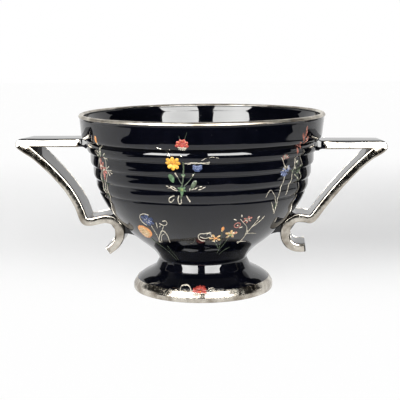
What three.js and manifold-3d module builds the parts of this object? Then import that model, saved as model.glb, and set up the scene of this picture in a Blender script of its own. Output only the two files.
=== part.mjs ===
// Two-handled centerpiece bowl in black-glazed pottery, with silvered lip, foot and handle edges.
// Millimetres, +Z up. The origin is on the floor under the bowl's axis, and the handles lie along X.

import * as THREE from 'three';
import { mergeVertices } from 'three/addons/utils/BufferGeometryUtils.js';
import Module from 'manifold-3d';

const wasm = await Module();
wasm.setup();

// Round pieces and fit
const ROUND_STEPS = 60;
const FIT_GAP = 0.3;
const SILVER_THICKNESS = 0.45;

// Bowl
const TOTAL_HEIGHT = 156;
const NECK_RADIUS = 106;
const LIP_OVERHANG = 1.3;
const LIP_BEAD_RADIUS = 2.25;
const WALL_THICKNESS = 5.4;
const FLOOR_THICKNESS = 8.5;
const LOWER_RADIUS = 55.3;
const LOWER_HEIGHT = 44.5;
const WAIST_RADIUS = 38.9;

// Turned ribs: creases are counted down from the lip, and both pitch and taper grow on the way down
const RIB_COUNT = 4;
const FIRST_CREASE_DROP = 22.2;
const FIRST_CREASE_INSET = 5.4;
const RIB_PITCH = 10.6;
const RIB_PITCH_GROWTH = 0.16;
const RIB_TAPER = 2.1;
const RIB_TAPER_GROWTH = 0.15;
const RIB_SWELL = 1.8;
const RIB_SWELL_LOSS = 0.65;

// Pedestal foot
const FOOT_HEIGHT = 26.6;
const FOOT_NECK_RADIUS = 42.1;
const FOOT_NECK_HEIGHT = 20.7;
const FOOT_RADIUS = 61.9;
const FOOT_EDGE_HEIGHT = 7.8;
const FOOT_EDGE_ROUND = 1.8;
const FOOT_RING_WIDTH = 5;
const FOOT_WALL = 7.5;
const FOOT_BAND_LIFT = 0.6;

// Strap handles
const STRAP_WIDTH = 32;
const STRAP_THICKNESS = 5.2;
const STRAP_EDGE_ROUND = 2;
const SILVER_EDGE_REACH = 3.2;
const BAR_ROOT_DEPTH = 4;
const LUTING_LIFT = 5.2;
const LUTING_DROP = 13.5;

// Each handle was bent by hand, so the two have their own elbow, shelf and scroll.
// Heights are from the floor; distances out are from the wall at the shelf's height.
const LEFT_STRAP = {
  side: -1,
  reach: 162.8,
  barDrop: 25,
  shelfHeight: 62.9,
  slopeStart: [-26.1, -21.8],
  slopeEnd: [8, 26],
  elbow: [30.6, 3.1],
  elbowCorner: [28.5, -2.8],
  shelfOuter: [22.1, -2.3],
  shelfInner: [13.1, 0],
  shoulderOut: [6.1, 1.4],
  shoulderIn: [-2, -2.1],
  tailTop: [-2.4, -9.9],
  tailBow: [-3.2, -17.4],
  tailCurl: [-0.7, -22.2],
  tailEnd: [8.8, -28.6],
};
const RIGHT_STRAP = {
  side: 1,
  reach: 159.9,
  barDrop: 27,
  shelfHeight: 64.9,
  slopeStart: [-22.4, -16.7],
  slopeEnd: [14.7, 21.2],
  elbow: [22, 1.9],
  elbowCorner: [18.7, -1.9],
  shelfOuter: [14.7, -0.5],
  shelfInner: [9.7, 0],
  shoulderOut: [4.5, 0.7],
  shoulderIn: [-3.2, -4.1],
  tailTop: [-3.4, -11.9],
  tailBow: [-3.9, -21.6],
  tailCurl: [1.2, -28.3],
  tailEnd: [14.3, -26.2],
};

const silverBuild = FIT_GAP + SILVER_THICKNESS;

const glaze = { color: 0x0b0b10, roughness: 0.08, metalness: 0 };
const silver = { color: 0xb9b0a2, roughness: 0.22, metalness: 1 };

// Sampling of the curves
const RIB_STEPS = 4;
const NECK_STEPS = 4;
const LOWER_STEPS = 7;
const WAIST_STEPS = 4;
const FOOT_STEPS = 6;
const INNER_STEPS = 6;
const BEAD_STEPS = 7;
const SLOPE_STEPS = 9;
const BEND_STEPS = 4;
const TAIL_STEPS = 7;
const TIP_STEPS = 5;
const EDGE_STEPS = 2;

const point = (x, y) => new THREE.Vector2(x, y);

function bezier(start, startPull, endPull, end, steps) {
  const curve = new THREE.CubicBezierCurve(start, startPull, endPull, end);
  return curve.getPoints(steps).slice(1);
}

function arc(centre, radius, fromDegrees, toDegrees, steps) {
  const points = [];
  for (let i = 0; i <= steps; i++) {
    const angle = THREE.MathUtils.degToRad(fromDegrees + ((toDegrees - fromDegrees) * i) / steps);
    points.push(point(centre.x + radius * Math.cos(angle), centre.y + radius * Math.sin(angle)));
  }
  return points;
}

// Moves every point of a line sideways, to the right of its direction, and keeps the distance at bends
function offsetLine(points, distance) {
  return points.map((p, i) => {
    const before = points[Math.max(i - 1, 0)];
    const after = points[Math.min(i + 1, points.length - 1)];
    const arriving = p.clone().sub(before);
    const leaving = after.clone().sub(p);
    if (i === 0) arriving.copy(leaving);
    if (i === points.length - 1) leaving.copy(arriving);
    const along = arriving.normalize().clone().add(leaving.normalize()).normalize();
    const stretch = 1 / Math.max(along.dot(arriving), 0.5);
    return point(p.x + along.y * distance * stretch, p.y - along.x * distance * stretch);
  });
}

function turned(profile) {
  return new THREE.LatheGeometry(profile, ROUND_STEPS).rotateX(Math.PI / 2);
}

function toSolid(geometry) {
  const bare = new THREE.BufferGeometry();
  bare.setAttribute('position', geometry.getAttribute('position').clone());
  if (geometry.index) bare.setIndex(geometry.index.clone());
  const merged = mergeVertices(bare, 1e-4);
  const corners = merged.index.array;
  const triangles = [];
  for (let i = 0; i < corners.length; i += 3) {
    const [a, b, c] = [corners[i], corners[i + 1], corners[i + 2]];
    if (a !== b && b !== c && c !== a) triangles.push(a, b, c);
  }
  return new wasm.Manifold(
    new wasm.Mesh({
      numProp: 3,
      vertProperties: new Float32Array(merged.getAttribute('position').array),
      triVerts: new Uint32Array(triangles),
    }),
  );
}

function toGeometry(solid) {
  const mesh = solid.getMesh();
  const geometry = new THREE.BufferGeometry();
  geometry.setAttribute('position', new THREE.BufferAttribute(new Float32Array(mesh.vertProperties), 3));
  geometry.setIndex(new THREE.BufferAttribute(new Uint32Array(mesh.triVerts), 1));
  geometry.computeVertexNormals();
  return geometry;
}

function crease(index) {
  return point(
    NECK_RADIUS - FIRST_CREASE_INSET - RIB_TAPER * index - RIB_TAPER_GROWTH * index * index,
    TOTAL_HEIGHT - FIRST_CREASE_DROP - RIB_PITCH * index - RIB_PITCH_GROWTH * index * index,
  );
}

const lipRadius = NECK_RADIUS + LIP_OVERHANG;
const lipCentre = point(lipRadius - LIP_BEAD_RADIUS, TOTAL_HEIGHT - LIP_BEAD_RADIUS);
const lipClayRadius = LIP_BEAD_RADIUS - SILVER_THICKNESS - FIT_GAP;
const lowerPoint = point(LOWER_RADIUS, LOWER_HEIGHT);
const waistPoint = point(WAIST_RADIUS, FOOT_HEIGHT);

// Outside of the bowl from the neck under the lip down to the waist
function outerWall() {
  const neck = point(NECK_RADIUS, lipCentre.y - 1.45 * LIP_BEAD_RADIUS);
  const first = crease(0);
  const points = [neck];
  const rise = neck.y - first.y;
  const neckMiddle = point(NECK_RADIUS - 0.4, neck.y - 0.35 * rise);
  const neckFoot = point(NECK_RADIUS - 0.2, first.y + 0.12 * rise);
  points.push(...bezier(neck, neckMiddle, neckFoot, first, NECK_STEPS));
  for (let i = 0; i < RIB_COUNT; i++) {
    const top = crease(i);
    const bottom = crease(i + 1);
    const height = top.y - bottom.y;
    const swell = RIB_SWELL - RIB_SWELL_LOSS * i;
    const face = point(top.x + swell + 0.2, top.y - 0.6 * height);
    const tuck = point(top.x + swell - 0.5, top.y - 0.92 * height);
    points.push(...bezier(top, face, tuck, bottom, RIB_STEPS));
  }
  const last = crease(RIB_COUNT);
  const drop = last.y - LOWER_HEIGHT;
  const upperPull = point(last.x - 4.3, last.y - 0.25 * drop);
  const lowerPull = point(LOWER_RADIUS + 17.7, LOWER_HEIGHT + 0.3 * drop);
  points.push(...bezier(last, upperPull, lowerPull, lowerPoint, LOWER_STEPS));
  const fall = LOWER_HEIGHT - FOOT_HEIGHT;
  const foldIn = point(LOWER_RADIUS - 8, LOWER_HEIGHT - 0.34 * fall);
  const foldDown = point(WAIST_RADIUS + 0.6, FOOT_HEIGHT + 0.34 * fall);
  points.push(...bezier(lowerPoint, foldIn, foldDown, waistPoint, WAIST_STEPS));
  return points;
}

const wall = outerWall();

function wallRadius(height) {
  for (let i = 1; i < wall.length; i++) {
    if (wall[i].y <= height && wall[i - 1].y >= height) {
      const share = (wall[i - 1].y - height) / (wall[i - 1].y - wall[i].y);
      return THREE.MathUtils.lerp(wall[i - 1].x, wall[i].x, share);
    }
  }
  return height > wall[0].y ? NECK_RADIUS : WAIST_RADIUS;
}

// Inside of the bowl from the floor's centre up to the lip, a softened copy of the outside
function innerWall() {
  const last = crease(RIB_COUNT);
  const floorHeight = FOOT_HEIGHT + FLOOR_THICKNESS;
  const centre = point(0, floorHeight);
  const floorPull = point(0.3 * LOWER_RADIUS, floorHeight);
  const cornerPull = point(LOWER_RADIUS - 2 * WALL_THICKNESS, floorHeight + 0.5 * WALL_THICKNESS);
  const corner = point(LOWER_RADIUS - 0.6 * WALL_THICKNESS, LOWER_HEIGHT + WALL_THICKNESS);
  const sidePull = point(LOWER_RADIUS + 14.4, LOWER_HEIGHT + WALL_THICKNESS + 11.6);
  const ribFoot = point(last.x - WALL_THICKNESS, last.y + 1);
  const footPull = point(ribFoot.x - 4.3, ribFoot.y - 9.6);
  const neck = point(NECK_RADIUS - WALL_THICKNESS, lipCentre.y - 2 * LIP_BEAD_RADIUS);
  const ribPull = point(ribFoot.x + 5.1, ribFoot.y + 13.2);
  const neckPull = point(neck.x - 5.1, neck.y - 16.2);
  return [
    centre,
    ...bezier(centre, floorPull, cornerPull, corner, INNER_STEPS),
    ...bezier(corner, sidePull, footPull, ribFoot, INNER_STEPS),
    ...bezier(ribFoot, ribPull, neckPull, neck, INNER_STEPS),
  ];
}

function bowlBody() {
  const lip = arc(lipCentre, lipClayRadius, -60, 205, BEAD_STEPS);
  const profile = [point(0, FOOT_HEIGHT), ...wall.slice().reverse(), ...lip, ...innerWall().reverse()];
  return turned(profile);
}

// A solid of the bowl's outer shape, grown by a clearance, that cuts the handles to the wall
function bowlEnvelope(clearance) {
  const grown = offsetLine(wall, -clearance);
  const top = point(0, TOTAL_HEIGHT);
  const shoulder = point(NECK_RADIUS + clearance, TOTAL_HEIGHT);
  const bottom = point(0, grown[grown.length - 1].y);
  return toSolid(turned([bottom, ...grown.reverse(), shoulder, top]));
}

// The outside of the foot from the waist to the floor, set in by a depth behind the silver band
function footSide(depth) {
  const radius = FOOT_RADIUS - depth;
  const edgeTop = point(radius - FOOT_EDGE_ROUND, FOOT_EDGE_HEIGHT - depth);
  const edgeUpper = point(radius, FOOT_EDGE_HEIGHT - depth - FOOT_EDGE_ROUND);
  const edgeLower = point(radius, FOOT_EDGE_ROUND);
  const edgeFoot = point(radius - 0.5, 0);
  return { edgeTop, edgeUpper, edgeLower, edgeFoot };
}

function pedestalFoot() {
  const top = point(WAIST_RADIUS, FOOT_HEIGHT - FIT_GAP);
  const { edgeTop, edgeUpper, edgeLower, edgeFoot } = footSide(SILVER_THICKNESS + FIT_GAP);
  const wallTop = point(WAIST_RADIUS - FOOT_WALL, top.y);
  const neck = point(FOOT_NECK_RADIUS, FOOT_NECK_HEIGHT);
  const neckStart = point(WAIST_RADIUS + 0.6, top.y - 2);
  const neckEnd = point(neck.x - 1.2, neck.y + 2);
  const flare = point(neck.x + 3.4, neck.y - 3.5);
  const brow = point(edgeTop.x - 2.8, edgeTop.y + 7.4);
  const outer = [
    top,
    ...bezier(top, neckStart, neckEnd, neck, FOOT_STEPS / 2),
    ...bezier(neck, flare, brow, edgeTop, FOOT_STEPS),
    edgeUpper,
    edgeLower,
    edgeFoot,
  ];
  const ring = point(edgeFoot.x - FOOT_RING_WIDTH, 0);
  const hollow = bezier(ring, point(ring.x - 2, 5), point(wallTop.x + 8, 0.5 * top.y), wallTop, FOOT_STEPS);
  return turned([...outer, ring, ...hollow, top].reverse());
}

function footSilverBand() {
  const front = footSide(0);
  const back = footSide(SILVER_THICKNESS);
  const lift = (p) => point(p.x, Math.max(p.y, FOOT_BAND_LIFT));
  return turned([
    lift(back.edgeFoot), lift(front.edgeFoot), front.edgeLower, front.edgeUpper, front.edgeTop,
    back.edgeTop, back.edgeUpper, back.edgeLower, lift(back.edgeFoot),
  ]);
}

function rimSilverBand() {
  const outside = arc(lipCentre, LIP_BEAD_RADIUS, -42, 180, BEAD_STEPS);
  const inside = arc(lipCentre, LIP_BEAD_RADIUS - SILVER_THICKNESS, 180, -42, BEAD_STEPS);
  return turned([...outside, ...inside, outside[0]]);
}

// Centre line of a strap from its tip corner down the slope, over the shelf and into the scroll
function strapRun(strap) {
  const base = point(wallRadius(strap.shelfHeight), strap.shelfHeight);
  const at = ([out, up]) => point(base.x + out, base.y + up);
  const tip = strapTip(strap);
  const elbow = at(strap.elbow);
  const elbowCorner = at(strap.elbowCorner);
  const shelfOuter = at(strap.shelfOuter);
  const shelfInner = at(strap.shelfInner);
  const tailTop = at(strap.tailTop);
  const pulled = (p, [out, up]) => point(p.x + out, p.y + up);
  return [
    tip,
    ...bezier(tip, pulled(tip, strap.slopeStart), pulled(elbow, strap.slopeEnd), elbow, SLOPE_STEPS),
    ...bezier(elbow, elbowCorner, elbowCorner, shelfOuter, BEND_STEPS),
    ...bezier(shelfInner, at(strap.shoulderOut), at(strap.shoulderIn), tailTop, BEND_STEPS + 1),
    ...bezier(tailTop, at(strap.tailBow), at(strap.tailCurl), at(strap.tailEnd), TAIL_STEPS),
  ];
}

function strapTip(strap) {
  return point(strap.reach - STRAP_THICKNESS / 2 - silverBuild, TOTAL_HEIGHT - strap.barDrop);
}

// Side view of a strap: bar out, round tip, slope, shelf and scroll, grown all round by an amount
function strapOutline(strap, grow) {
  const half = STRAP_THICKNESS / 2 + grow;
  const tip = strapTip(strap);
  const root = wallRadius(tip.y) - BAR_ROOT_DEPTH;
  const run = strapRun(strap);
  const end = run.pop();
  const onward = end.clone().sub(run[run.length - 1]).setLength(grow);
  run.push(end.add(onward));
  const outside = offsetLine(run, -half);
  const inside = offsetLine(run, half);
  const first = outside[0];
  const slopeAngle = THREE.MathUtils.radToDeg(Math.atan2(first.y - tip.y, first.x - tip.x));
  const underBar = tip.y - half;
  const kept = inside.filter((p) => p.y < underBar);
  const above = inside[inside.length - kept.length - 1];
  const share = (above.y - underBar) / (above.y - kept[0].y);
  const notch = point(THREE.MathUtils.lerp(above.x, kept[0].x, share), underBar);
  return [
    point(root, tip.y + half),
    ...arc(tip, half, 90, slopeAngle, TIP_STEPS),
    ...outside.slice(1),
    ...kept.reverse(),
    notch,
    point(root, underBar),
  ];
}

function extruded(outline, side, halfWidth, round) {
  const shape = new THREE.Shape(outline.map((p) => point(p.x * side, p.y)));
  const geometry = new THREE.ExtrudeGeometry(shape, {
    depth: 2 * (halfWidth - round),
    bevelEnabled: round > 0,
    bevelThickness: round,
    bevelSize: round,
    bevelOffset: -round,
    bevelSegments: EDGE_STEPS,
  });
  return toSolid(geometry.translate(0, 0, round - halfWidth).rotateX(Math.PI / 2));
}

// The clay wedge that fixes the strap to the wall above and below its shoulder
function luting(strap) {
  const base = point(wallRadius(strap.shelfHeight), strap.shelfHeight);
  const halfWidth = STRAP_WIDTH / 2 - SILVER_EDGE_REACH - FIT_GAP;
  const wedge = [
    point(base.x + 10, base.y + 2),
    point(base.x + 5, base.y + LUTING_LIFT),
    point(wallRadius(base.y + LUTING_LIFT + 3) - 1, base.y + LUTING_LIFT + 3),
    point(base.x - 18, base.y - LUTING_DROP - 3),
    point(base.x - 4, base.y - LUTING_DROP),
  ];
  return extruded(wedge, strap.side, halfWidth, 0);
}

const envelope = bowlEnvelope(FIT_GAP);

function strapHandle(strap) {
  const halfWidth = STRAP_WIDTH / 2 - silverBuild;
  const clay = extruded(strapOutline(strap, 0), strap.side, halfWidth, STRAP_EDGE_ROUND);
  return toGeometry(clay.add(luting(strap)).subtract(envelope));
}

// A thin silver channel over one long edge of a strap: face is -1 at the front and 1 at the back
function handleSilverEdge(strap, face) {
  const outside = extruded(strapOutline(strap, silverBuild), strap.side, STRAP_WIDTH / 2,
    STRAP_EDGE_ROUND + silverBuild);
  const inside = extruded(strapOutline(strap, FIT_GAP), strap.side, STRAP_WIDTH / 2 - SILVER_THICKNESS,
    STRAP_EDGE_ROUND + FIT_GAP);
  const edge = new THREE.BoxGeometry(3 * strap.reach, STRAP_WIDTH, 3 * strap.reach);
  edge.translate(0, face * (STRAP_WIDTH - SILVER_EDGE_REACH), 0);
  return toGeometry(outside.subtract(inside).intersect(toSolid(edge)).subtract(envelope));
}

function piece(name, geometry, finish) {
  const mesh = new THREE.Mesh(geometry, new THREE.MeshStandardMaterial(finish));
  mesh.name = name;
  return mesh;
}

const bowl = new THREE.Group();
bowl.add(piece('bowl_body', bowlBody(), glaze));
bowl.add(piece('pedestal_foot', pedestalFoot(), glaze));
bowl.add(piece('rim_silver_band', rimSilverBand(), silver));
bowl.add(piece('foot_silver_band', footSilverBand(), silver));
for (const [name, strap] of [['left', LEFT_STRAP], ['right', RIGHT_STRAP]]) {
  bowl.add(piece(`${name}_handle`, strapHandle(strap), glaze));
  bowl.add(piece(`${name}_handle_silver_front`, handleSilverEdge(strap, -1), silver));
  bowl.add(piece(`${name}_handle_silver_back`, handleSilverEdge(strap, 1), silver));
}

export default bowl;
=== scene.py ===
import math
import random

import bpy
from mathutils import Matrix, Vector, noise


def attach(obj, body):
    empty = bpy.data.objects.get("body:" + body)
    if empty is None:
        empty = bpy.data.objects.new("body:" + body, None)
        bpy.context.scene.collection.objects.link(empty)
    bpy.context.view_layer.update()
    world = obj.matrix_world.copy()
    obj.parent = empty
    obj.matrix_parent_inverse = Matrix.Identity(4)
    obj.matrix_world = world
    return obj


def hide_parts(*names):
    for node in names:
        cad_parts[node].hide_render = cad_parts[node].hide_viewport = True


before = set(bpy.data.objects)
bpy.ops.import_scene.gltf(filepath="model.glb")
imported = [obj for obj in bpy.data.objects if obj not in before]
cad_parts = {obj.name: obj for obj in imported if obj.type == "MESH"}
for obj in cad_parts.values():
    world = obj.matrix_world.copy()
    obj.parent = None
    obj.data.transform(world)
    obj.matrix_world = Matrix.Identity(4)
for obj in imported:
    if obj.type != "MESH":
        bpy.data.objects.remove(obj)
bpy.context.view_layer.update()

bl_info = {
    "name": "Two-handled centerpiece bowl",
    "version": (1, 0, 0),
    "blender": (4, 5, 0),
    "location": "View3D > Sidebar > Centerpiece bowl",
    "description": "Models a black-glazed bowl with ribs, strap handles, silvered edges and enamel sprigs",
    "category": "Add Mesh",
}

MM = 0.001

# Outside of the bowl, in millimetres from the axis and above the floor
# Each turned band overhangs the next: its top radius, top and bottom heights, and the slope of its face in
# degrees at shares of its height, where a face that looks up is positive
BANDS = (
    (106.4, 151.2, 134.1, ((0, -5), (0.5, -6), (0.78, -6.5), (0.86, -16), (0.95, -35), (1, -42))),
    (
        98.4, 133.6, 123.1,
        (
            (0, 42), (0.20, 36), (0.28, 22), (0.36, 7), (0.44, 2), (0.60, -5), (0.68, -12), (0.88, -28),
            (1, -36),
        ),
    ),
    (97.4, 122.9, 112.1, ((0, 5), (0.5, -1), (0.72, -4), (0.80, -16), (1, -38))),
    (95.2, 111.9, 100.7, ((0, 5), (0.4, -1), (0.64, -3), (0.72, -14), (1, -35))),
    (92.9, 100.5, 89.6, ((0, 4), (0.25, -1), (0.47, -3), (0.58, -13), (0.85, -26), (1, -31))),
    (90.2, 89.4, 87.2, ((0, 2), (0.8, -1.5), (1, -9))),
)
RIB_FOOT = (89.8, 88.8)
LOWER_WALL = (55.3, 44.5)
WAIST = (38.9, 27.3)
FOOT_NECK = (42.0, 20.7)
FOOT_EDGE = (60.0, 7.8)
LIP_CENTRE = (105.0, 153.65)
LIP_ROUND = 2.25
# The clay under the foot's silver: its edge from the top down, and the contact ring's two borders
FOOT_RIM = ((61.1, 6.9), (61.75, 5.5), (61.9, 3.6), (61.8, 1.4), (61.2, 0.3))
FOOT_RING = (60.3, 56.2)
FOOT_SILVER_TOP = 10.4
FOOT_SILVER_BOTTOM = 0.45
FLOOR_HEIGHT = 35.2
INNER_NECK = (100.9, 149.4)
WALL_STEP = 0.55
MERGE_DISTANCE = 0.004 * MM

# Steps round the wheel
BOWL_STEPS = 168
FOOT_STEPS = 132

# Throwing ripple: share of its depth, its scale and its seed, the same for the clay and the silver on it
BOWL_WAVES = (1.0, 26.0, 3.0)
FOOT_WAVES = (0.45, 30.0, 8.0)
STRAP_WAVES = (0.5, 34.0, 2.0)
# It calms over a few millimetres up to the lip and down to the floor
LIP_CALM_START, LIP_CALM_SPAN, LIP_CALM = 144, 8, 0.9
FLOOR_CALM_SPAN = 3

# The strap's rounding: how far each face has sunk, at how far from the edge
STRAP_EDGE = (
    (0, 3.2), (0.04, 2.2), (0.10, 1.4), (0.19, 0.96), (0.32, 0.65),
    (0.52, 0.38), (0.78, 0.174), (1.06, 0.044), (1.36, 0),
)
BAR_LEAN = 12.0
TIP_ROUND = 1.5
TIP_FADE = 11.0
BRUSH_WAVER = 0.1
SILVER_ROOT_GAP = 5.4

# Each strap was bent by hand. Its tip and base are measured from the axis and the floor, the slope's two
# pulls from the tip and the elbow, and all else from the base. "short" is what the back corner lacks.
LEFT_STRAP = {
    "side": -1,
    "short": 6.5,
    "tip": (159.2, 130.5),
    "base": (74.7, 62.9),
    "slope": ((-26.1, -21.8), (8.0, 26.0)),
    "elbow": (30.6, 3.1),
    "elbow_corner": (28.5, -2.8),
    "shelf": ((22.1, -2.3), (13.1, 0.0)),
    "shoulder": ((6.1, 1.4), (-2.0, -2.1)),
    "tail_top": (-2.4, -9.9),
    "tail": ((-3.2, -17.4), (-0.7, -22.2), (8.8, -28.6)),
}
RIGHT_STRAP = {
    "side": 1,
    "short": 3.2,
    "tip": (156.3, 128.5),
    "base": (76.3, 64.9),
    "slope": ((-22.4, -16.7), (14.7, 21.2)),
    "elbow": (22.0, 1.9),
    "elbow_corner": (18.7, -1.9),
    "shelf": ((14.7, -0.5), (9.7, 0.0)),
    "shoulder": ((4.5, 0.7), (-3.2, -4.1)),
    "tail_top": (-3.4, -11.9),
    "tail": ((-3.9, -21.6), (1.2, -28.3), (14.3, -26.2)),
}


def millimetres(name, words, value):
    return bpy.props.FloatProperty(name=name, description=words, default=value * MM, unit="LENGTH")


class BowlSizes(bpy.types.PropertyGroup):
    """Sizes of the bowl that a user would change"""

    wall_thickness: millimetres("Wall thickness", "Clay thickness of the bowl's wall", 5.4)
    strap_width: millimetres("Strap width", "Width of both handle straps", 32)
    strap_thickness: millimetres("Strap thickness", "Thickness of the straps with their silver", 7.6)
    silver_reach: millimetres("Silver reach", "How far the silver reaches in from a strap's edge", 1.1)
    silver_lift: millimetres("Silver thickness", "Thickness of the silver coat", 0.25)
    ripple: millimetres("Throwing ripple", "Depth of the unevenness left by the potter's hand", 0.35)
    enamel_lift: millimetres("Enamel height", "Height of the enamel petals above the glaze", 0.5)


def colour(name, words, value):
    return bpy.props.FloatVectorProperty(
        name=name, description=words, default=value, subtype="COLOR", size=3, min=0, max=1
    )


class BowlColours(bpy.types.PropertyGroup):
    """Colours of the glaze, the silver and the enamels"""

    glaze: colour("Glaze", "Black glaze over the whole clay body", (0.0013, 0.0017, 0.0036))
    silver: colour("Silver", "Clean silver", (0.70, 0.66, 0.585))
    tarnish: colour("Tarnish", "Warm brown film on the silver", (0.20, 0.165, 0.125))
    coral: colour("Coral", "Coral red petals", (0.39, 0.038, 0.022))
    yellow: colour("Yellow", "Golden yellow petals", (0.85, 0.42, 0.03))
    orange: colour("Orange", "Apricot petals and buds", (0.80, 0.32, 0.085))
    peach: colour("Peach", "Pale apricot of the blooms", (0.66, 0.43, 0.20))
    russet: colour("Russet", "Brownish red petals", (0.25, 0.075, 0.045))
    pink: colour("Pink", "Salmon pink petals", (0.48, 0.17, 0.13))
    blue: colour("Blue", "Cornflower blue petals", (0.020, 0.042, 0.120))
    sky: colour("Sky", "Light blue touches on the blue petals", (0.20, 0.24, 0.40))
    cream: colour("Cream", "Cream petals and dots", (0.68, 0.62, 0.50))
    lime: colour("Lime", "Yellow green heart of the stem's knot", (0.26, 0.36, 0.12))
    green: colour("Green", "Leaf green stems and leaves", (0.07, 0.15, 0.065))
    olive: colour("Olive", "Olive and dark green leaves", (0.06, 0.085, 0.045))


def sizes():
    return bpy.context.scene.bowl_sizes


def colours():
    return bpy.context.scene.bowl_colours


# Curves


def clamped(value, low=0, high=1):
    return min(max(value, low), high)


def plus(spot, step):
    return (spot[0] + step[0], spot[1] + step[1])


def bezier(start, pull_start, pull_end, end, steps):
    points = []
    for i in range(1, steps + 1):
        t = i / steps
        weights = ((1 - t) ** 3, 3 * (1 - t) ** 2 * t, 3 * (1 - t) * t * t, t ** 3)
        controls = (start, pull_start, pull_end, end)
        points.append(tuple(sum(w * c[k] for w, c in zip(weights, controls)) for k in (0, 1)))
    return points


def arc(centre, radius, first, last, steps):
    turns = [math.radians(first + (last - first) * i / steps) for i in range(steps + 1)]
    return [(centre[0] + radius * math.cos(t), centre[1] + radius * math.sin(t)) for t in turns]


def even(points, step):
    """The same line with its points a set step apart"""
    made = [points[0]]
    for a, b in zip(points, points[1:]):
        length = math.dist(a, b)
        count = max(1, round(length / step))
        for i in range(1, count + 1):
            made.append(tuple(a[k] + (b[k] - a[k]) * i / count for k in (0, 1)))
    return made


def softened(points, rounds):
    for _ in range(rounds):
        threes = zip(points, points[1:], points[2:])
        inner = [tuple((a[k] + 2 * b[k] + c[k]) / 4 for k in (0, 1)) for a, b, c in threes]
        points = [points[0], *inner, points[-1]]
    return points


def offset_line(points, distance):
    """The line moved sideways, to the right of its direction"""
    moved = []
    for i, point in enumerate(points):
        before, after = points[max(i - 1, 0)], points[min(i + 1, len(points) - 1)]
        arriving = Vector((point[0] - before[0], point[1] - before[1]))
        leaving = Vector((after[0] - point[0], after[1] - point[1]))
        if i == 0:
            arriving = leaving
        if i == len(points) - 1:
            leaving = arriving
        along = (arriving.normalized() + leaving.normalized()).normalized()
        stretch = 1 / max(along.dot(arriving.normalized()), 0.5)
        moved.append((point[0] + along.y * distance * stretch, point[1] - along.x * distance * stretch))
    return moved


def resampled(points, count):
    """The same line with a set number of points, evenly spaced"""
    lengths = [0]
    for a, b in zip(points, points[1:]):
        lengths.append(lengths[-1] + math.dist(a, b))
    made, spot = [], 0
    for i in range(count):
        wanted = lengths[-1] * i / (count - 1)
        while spot < len(points) - 2 and lengths[spot + 1] < wanted:
            spot += 1
        share = (wanted - lengths[spot]) / max(lengths[spot + 1] - lengths[spot], 1e-9)
        a, b = points[spot], points[spot + 1]
        made.append((a[0] + (b[0] - a[0]) * share, a[1] + (b[1] - a[1]) * share))
    return made


def beside(run, distance, swell):
    """A line beside the run on one side, without the loops that tight bends would give it"""
    moved = []
    for here, full in zip(run, zip(offset_line(run, distance), offset_line(run, 1.25 * distance))):
        share = 0.8 * math.exp(-(math.dist(here, swell) / 11) ** 2)
        spot = tuple(full[0][k] + (full[1][k] - full[0][k]) * share for k in (0, 1))
        if min(math.dist(spot, other) for other in run) > 0.96 * abs(distance):
            moved.append(spot)
    return moved


def band(radius, top, bottom, slopes, steps=24):
    """One turned band, followed down its face by its slopes"""
    step, points = (top - bottom) / steps, [(radius, top)]
    for i in range(steps):
        share = (i + 0.5) / steps
        before, after = next(pair for pair in zip(slopes, slopes[1:]) if share <= pair[1][0])
        slope = before[1] + (after[1] - before[1]) * (share - before[0]) / (after[0] - before[0])
        radius += step * math.tan(math.radians(slope))
        points.append((radius, top - step * (i + 1)))
    return points


def bowl_wall():
    """Outside of the bowl from the neck under the lip down to the waist"""
    points = [point for row in BANDS for point in band(*row)]
    last = points[-1]
    points += bezier(last, (last[0] - 3.2, last[1] - 9.5), (73.0, 58.0), LOWER_WALL, 22)
    points += bezier(LOWER_WALL, (47.5, 38.8), (41.6, 33.6), (39.7, 29.6), 10)
    points += bezier((39.7, 29.6), (39.2, 28.6), (38.9, 28.2), WAIST, 3)
    return points


def foot_wall():
    """Outside of the foot from the waist down to the start of its upright edge"""
    points = [WAIST, *bezier(WAIST, (38.9, 26.2), (40.6, 23.4), FOOT_NECK, 8)]
    return points + bezier(FOOT_NECK, (45.0, 17.2), (56.4, 14.6), FOOT_EDGE, 16)


def foot_edge(start, steps, last):
    """Outside of the foot's upright edge, down to a last height"""
    return [*bezier(start, (61.3, 6.6), (61.9, 5.4), (61.95, 3.8), steps), (61.9, 1.6), (61.4, last)]


def whole_wall():
    """The outside from lip to floor, which the enamel is laid on"""
    line = [*bowl_wall(), *foot_wall()[1:], *foot_edge(FOOT_EDGE, 5, 0.0)]
    return softened(even(line, WALL_STEP), 3)


WALL = whole_wall()


def wall_place(height):
    """Radius and slope of the outside at a height above the floor, in millimetres"""
    low, high = 0, len(WALL) - 1
    while high - low > 1:
        middle = (low + high) // 2
        if WALL[middle][1] >= height:
            low = middle
        else:
            high = middle
    (r0, z0), (r1, z1) = WALL[low], WALL[high]
    share = (z0 - height) / (z0 - z1) if z0 > z1 else 0
    span = WALL[max(low - 1, 0)], WALL[min(high + 1, len(WALL) - 1)]
    run = Vector((span[0][0] - span[1][0], span[0][1] - span[1][1])).normalized()
    return r0 + (r1 - r0) * clamped(share), run


# Modelling by hand


def pick(*pieces):
    """Leave edit mode and select only these objects, with the first one active"""
    if bpy.context.object and bpy.context.object.mode != "OBJECT":
        bpy.ops.object.mode_set(mode="OBJECT")
    bpy.ops.object.select_all(action="DESELECT")
    for piece in pieces:
        piece.select_set(True)
    if pieces:
        bpy.context.view_layer.objects.active = pieces[0]


def open_mesh():
    """Open the active mesh in edit mode with all of it selected"""
    bpy.ops.object.mode_set(mode="EDIT")
    bpy.ops.mesh.select_all(action="SELECT")


def fresh(name, add, **settings):
    """A new primitive as the only selected and active object"""
    pick()
    add(**settings)
    piece = bpy.context.active_object
    piece.name = piece.data.name = name
    return piece


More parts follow.
